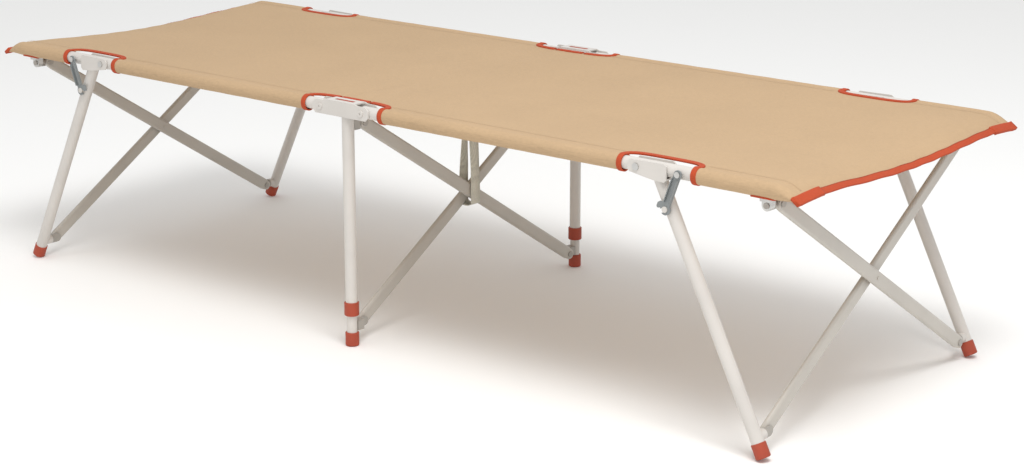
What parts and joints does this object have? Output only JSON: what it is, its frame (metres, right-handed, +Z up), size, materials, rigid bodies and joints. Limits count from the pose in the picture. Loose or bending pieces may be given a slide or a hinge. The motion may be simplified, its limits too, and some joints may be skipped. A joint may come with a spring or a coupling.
{
  "type": "folding cot",
  "caption": "Folding camp cot: canvas on two hinged side rails, crossed braces at the middle and both ends, swinging end legs and sliding middle legs",
  "frame": {"origin": "centre of the bed on the floor that its feet stand on", "axes": "+X runs along the bed, +Y across it, +Z is up; the bed is mirrored about both upright centre planes"},
  "size_m": [1.9, 0.7024, 0.4513],
  "materials": {
    "tube": "off-white powder coat, satin",
    "brace": "greige powder coat, satin",
    "bright_steel": "zinc-plated rivets and clips",
    "lug": "light grey, satin",
    "dark_steel": "dark grey channel, satin",
    "rubber": "terracotta-red moulded plastic, matt",
    "canvas": "tan woven canvas",
    "binding": "terracotta-red woven binding",
    "webbing": "tan webbing"
  },
  "bodies": {
    "rail_front_right": {"rail_front_right": "tube", "rail_fittings_front_right": "bright_steel", "canvas_right": "canvas"},
    "leg_front_right": {"end_leg_front_right": "tube", "leg_bracket_front_right": "tube", "end_foot_front_right": "rubber"},
    "hook_front_right": {"hook_front_right": "dark_steel"},
    "top_lug_front_right": {"top_lug_front_right": "lug"},
    "foot_lug_front_right": {"foot_lug_front_right": "lug"},
    "rail_front_left": {"rail_front_left": "tube", "rail_fittings_front_left": "bright_steel", "canvas_left": "canvas"},
    "leg_front_left": {"end_leg_front_left": "tube", "leg_bracket_front_left": "tube", "end_foot_front_left": "rubber"},
    "hook_front_left": {"hook_front_left": "dark_steel"},
    "top_lug_front_left": {"top_lug_front_left": "lug"},
    "foot_lug_front_left": {"foot_lug_front_left": "lug"},
    "rail_back_right": {"rail_back_right": "tube", "rail_fittings_back_right": "bright_steel", "sleeve_back_right": "canvas"},
    "leg_back_right": {"end_leg_back_right": "tube", "leg_bracket_back_right": "tube", "end_foot_back_right": "rubber"},
    "hook_back_right": {"hook_back_right": "dark_steel"},
    "top_lug_back_right": {"top_lug_back_right": "lug"},
    "foot_lug_back_right": {"foot_lug_back_right": "lug"},
    "rail_back_left": {"rail_back_left": "tube", "rail_fittings_back_left": "bright_steel", "sleeve_back_left": "canvas"},
    "leg_back_left": {"end_leg_back_left": "tube", "leg_bracket_back_left": "tube", "end_foot_back_left": "rubber"},
    "hook_back_left": {"hook_back_left": "dark_steel"},
    "top_lug_back_left": {"top_lug_back_left": "lug"},
    "foot_lug_back_left": {"foot_lug_back_left": "lug"},
    "mid_front": {"mid_bracket_front": "tube", "mid_leg_front": "tube", "collar_front": "rubber", "mid_lug_high_front": "lug", "canvas_mid": "canvas", "strap": "webbing"},
    "mid_back": {"mid_bracket_back": "tube", "mid_leg_back": "tube", "collar_back": "rubber", "mid_lug_high_back": "lug"},
    "inner_front": {"inner_leg_front": "tube", "mid_foot_front": "rubber", "mid_lug_low_front": "lug"},
    "inner_back": {"inner_leg_back": "tube", "mid_foot_back": "rubber", "mid_lug_low_back": "lug"},
    "mid_brace_a": {"brace_mid_a": "brace", "cross_pin_mid": "bright_steel"},
    "mid_brace_b": {"brace_mid_b": "brace"},
    "right_brace_a": {"brace_right_a": "brace"},
    "right_brace_b": {"brace_right_b": "brace"},
    "left_brace_a": {"brace_left_a": "brace"},
    "left_brace_b": {"brace_left_b": "brace"}
  },
  "joints": [
    {"name": "fold", "type": "hinge", "parent": "rail_front_right", "child": "mid_front", "pos_m": [0.05, -0.33, 0.4365], "axis": [0, 1, 0], "range_deg": [0, 90]},
    {"name": "rail_fold_front_left", "type": "hinge", "parent": "mid_front", "child": "rail_front_left", "pos_m": [-0.05, -0.33, 0.4365], "axis": [0, 1, 0], "range_deg": [0, 90.5]},
    {"name": "close", "type": "hinge", "parent": "mid_front", "child": "mid_brace_a", "pos_m": [0, -0.293, 0.407], "axis": [-1, 0, 0], "range_deg": [0, 55.33], "deforming": ["canvas_right", "canvas_left", "canvas_mid", "strap"]},
    {"name": "mid_crossing", "type": "hinge", "parent": "mid_brace_a", "child": "mid_brace_b", "pos_m": [0, 0, 0.2215], "axis": [1, 0, 0], "range_deg": [0, 111.2]},
    {"name": "mid_b_turn", "type": "hinge", "parent": "mid_brace_b", "child": "mid_back", "pos_m": [0, 0.293, 0.407], "axis": [-1, 0, 0], "range_deg": [0, 55.8]},
    {"name": "inner_front_turn", "type": "hinge", "parent": "mid_brace_b", "child": "inner_front", "pos_m": [0, -0.293, 0.036], "axis": [-1, 0, 0], "range_deg": [0, 55.8]},
    {"name": "inner_back_turn", "type": "hinge", "parent": "mid_brace_a", "child": "inner_back", "pos_m": [0, 0.293, 0.036], "axis": [1, 0, 0], "range_deg": [0, 55.8]},
    {"name": "rail_fold_back_right", "type": "hinge", "parent": "mid_back", "child": "rail_back_right", "pos_m": [0.05, 0.33, 0.4365], "axis": [0, -1, 0], "range_deg": [0, 90.5]},
    {"name": "rail_fold_back_left", "type": "hinge", "parent": "mid_back", "child": "rail_back_left", "pos_m": [-0.05, 0.33, 0.4365], "axis": [0, 1, 0], "range_deg": [0, 90.5]},
    {"name": "leg_swing_front_right", "type": "hinge", "parent": "rail_front_right", "child": "leg_front_right", "pos_m": [0.65, -0.33, 0.4365], "axis": [0, 1, 0], "range_deg": [0, 117.1]},
    {"name": "hook_swing_front_right", "type": "hinge", "parent": "rail_front_right", "child": "hook_front_right", "pos_m": [0.733, -0.33, 0.4365], "axis": [0, -1, 0], "range_deg": [0, 85.5]},
    {"name": "top_lug_turn_front_right", "type": "hinge", "parent": "rail_front_right", "child": "top_lug_front_right", "pos_m": [0.88131, -0.33, 0.407], "axis": [0, 1, 0], "range_deg": [0, 90.7]},
    {"name": "leg_swing_front_left", "type": "hinge", "parent": "rail_front_left", "child": "leg_front_left", "pos_m": [-0.65, -0.33, 0.4365], "axis": [0, -1, 0], "range_deg": [0, 117.1]},
    {"name": "hook_swing_front_left", "type": "hinge", "parent": "rail_front_left", "child": "hook_front_left", "pos_m": [-0.733, -0.33, 0.4365], "axis": [0, 1, 0], "range_deg": [0, 85.5]},
    {"name": "top_lug_turn_front_left", "type": "hinge", "parent": "rail_front_left", "child": "top_lug_front_left", "pos_m": [-0.88131, -0.33, 0.407], "axis": [0, -1, 0], "range_deg": [0, 90.7]},
    {"name": "leg_swing_back_right", "type": "hinge", "parent": "rail_back_right", "child": "leg_back_right", "pos_m": [0.65, 0.33, 0.4365], "axis": [0, 1, 0], "range_deg": [0, 117.1]},
    {"name": "hook_swing_back_right", "type": "hinge", "parent": "rail_back_right", "child": "hook_back_right", "pos_m": [0.733, 0.33, 0.4365], "axis": [0, -1, 0], "range_deg": [0, 85.5]},
    {"name": "top_lug_turn_back_right", "type": "hinge", "parent": "rail_back_right", "child": "top_lug_back_right", "pos_m": [0.88131, 0.33, 0.407], "axis": [0, 1, 0], "range_deg": [0, 90.7]},
    {"name": "leg_swing_back_left", "type": "hinge", "parent": "rail_back_left", "child": "leg_back_left", "pos_m": [-0.65, 0.33, 0.4365], "axis": [0, -1, 0], "range_deg": [0, 117.1]},
    {"name": "hook_swing_back_left", "type": "hinge", "parent": "rail_back_left", "child": "hook_back_left", "pos_m": [-0.733, 0.33, 0.4365], "axis": [0, 1, 0], "range_deg": [0, 85.5]},
    {"name": "top_lug_turn_back_left", "type": "hinge", "parent": "rail_back_left", "child": "top_lug_back_left", "pos_m": [-0.88131, 0.33, 0.407], "axis": [0, -1, 0], "range_deg": [0, 90.7]},
    {"name": "right_a_turn", "type": "hinge", "parent": "top_lug_front_right", "child": "right_brace_a", "pos_m": [0.88131, -0.293, 0.407], "axis": [-1, 0, 0], "range_deg": [0, 55.8]},
    {"name": "right_b_turn", "type": "hinge", "parent": "top_lug_back_right", "child": "right_brace_b", "pos_m": [0.88131, 0.293, 0.407], "axis": [1, 0, 0], "range_deg": [0, 55.8]},
    {"name": "foot_lug_turn_back_right", "type": "hinge", "parent": "right_brace_a", "child": "foot_lug_back_right", "pos_m": [0.88131, 0.293, 0.036], "axis": [1, 0, 0], "range_deg": [0, 55.8]},
    {"name": "foot_lug_turn_front_right", "type": "hinge", "parent": "right_brace_b", "child": "foot_lug_front_right", "pos_m": [0.88131, -0.293, 0.036], "axis": [-1, 0, 0], "range_deg": [0, 55.8]},
    {"name": "left_a_turn", "type": "hinge", "parent": "top_lug_front_left", "child": "left_brace_a", "pos_m": [-0.88131, -0.293, 0.407], "axis": [-1, 0, 0], "range_deg": [0, 55.8]},
    {"name": "left_b_turn", "type": "hinge", "parent": "top_lug_back_left", "child": "left_brace_b", "pos_m": [-0.88131, 0.293, 0.407], "axis": [1, 0, 0], "range_deg": [0, 55.8]},
    {"name": "foot_lug_turn_back_left", "type": "hinge", "parent": "left_brace_a", "child": "foot_lug_back_left", "pos_m": [-0.88131, 0.293, 0.036], "axis": [1, 0, 0], "range_deg": [0, 55.8]},
    {"name": "foot_lug_turn_front_left", "type": "hinge", "parent": "left_brace_b", "child": "foot_lug_front_left", "pos_m": [-0.88131, -0.293, 0.036], "axis": [-1, 0, 0], "range_deg": [0, 55.8]}
  ],
  "couplings": [
    {"joint": "rail_fold_front_left", "follows": "fold", "ratio": 1},
    {"joint": "mid_crossing", "follows": "close", "ratio": 2},
    {"joint": "mid_b_turn", "follows": "close", "ratio": 1},
    {"joint": "inner_front_turn", "follows": "close", "ratio": 1},
    {"joint": "inner_back_turn", "follows": "close", "ratio": 1},
    {"joint": "rail_fold_back_right", "follows": "fold", "ratio": 1},
    {"joint": "rail_fold_back_left", "follows": "fold", "ratio": 1},
    {"joint": "leg_swing_front_right", "follows": "close", "ratio": 2.1074},
    {"joint": "hook_swing_front_right", "follows": "close", "ratio": 1.5362},
    {"joint": "top_lug_turn_front_right", "follows": "close", "ratio": 1.6296},
    {"joint": "leg_swing_front_left", "follows": "close", "ratio": 2.1074},
    {"joint": "hook_swing_front_left", "follows": "close", "ratio": 1.5362},
    {"joint": "top_lug_turn_front_left", "follows": "close", "ratio": 1.6296},
    {"joint": "leg_swing_back_right", "follows": "close", "ratio": 2.1074},
    {"joint": "hook_swing_back_right", "follows": "close", "ratio": 1.5362},
    {"joint": "top_lug_turn_back_right", "follows": "close", "ratio": 1.6296},
    {"joint": "leg_swing_back_left", "follows": "close", "ratio": 2.1074},
    {"joint": "hook_swing_back_left", "follows": "close", "ratio": 1.5362},
    {"joint": "top_lug_turn_back_left", "follows": "close", "ratio": 1.6296},
    {"joint": "right_a_turn", "follows": "close", "ratio": 1},
    {"joint": "right_b_turn", "follows": "close", "ratio": 1},
    {"joint": "foot_lug_turn_back_right", "follows": "close", "ratio": 1},
    {"joint": "foot_lug_turn_front_right", "follows": "close", "ratio": 1},
    {"joint": "left_a_turn", "follows": "close", "ratio": 1},
    {"joint": "left_b_turn", "follows": "close", "ratio": 1},
    {"joint": "foot_lug_turn_back_left", "follows": "close", "ratio": 1},
    {"joint": "foot_lug_turn_front_left", "follows": "close", "ratio": 1}
  ]
}
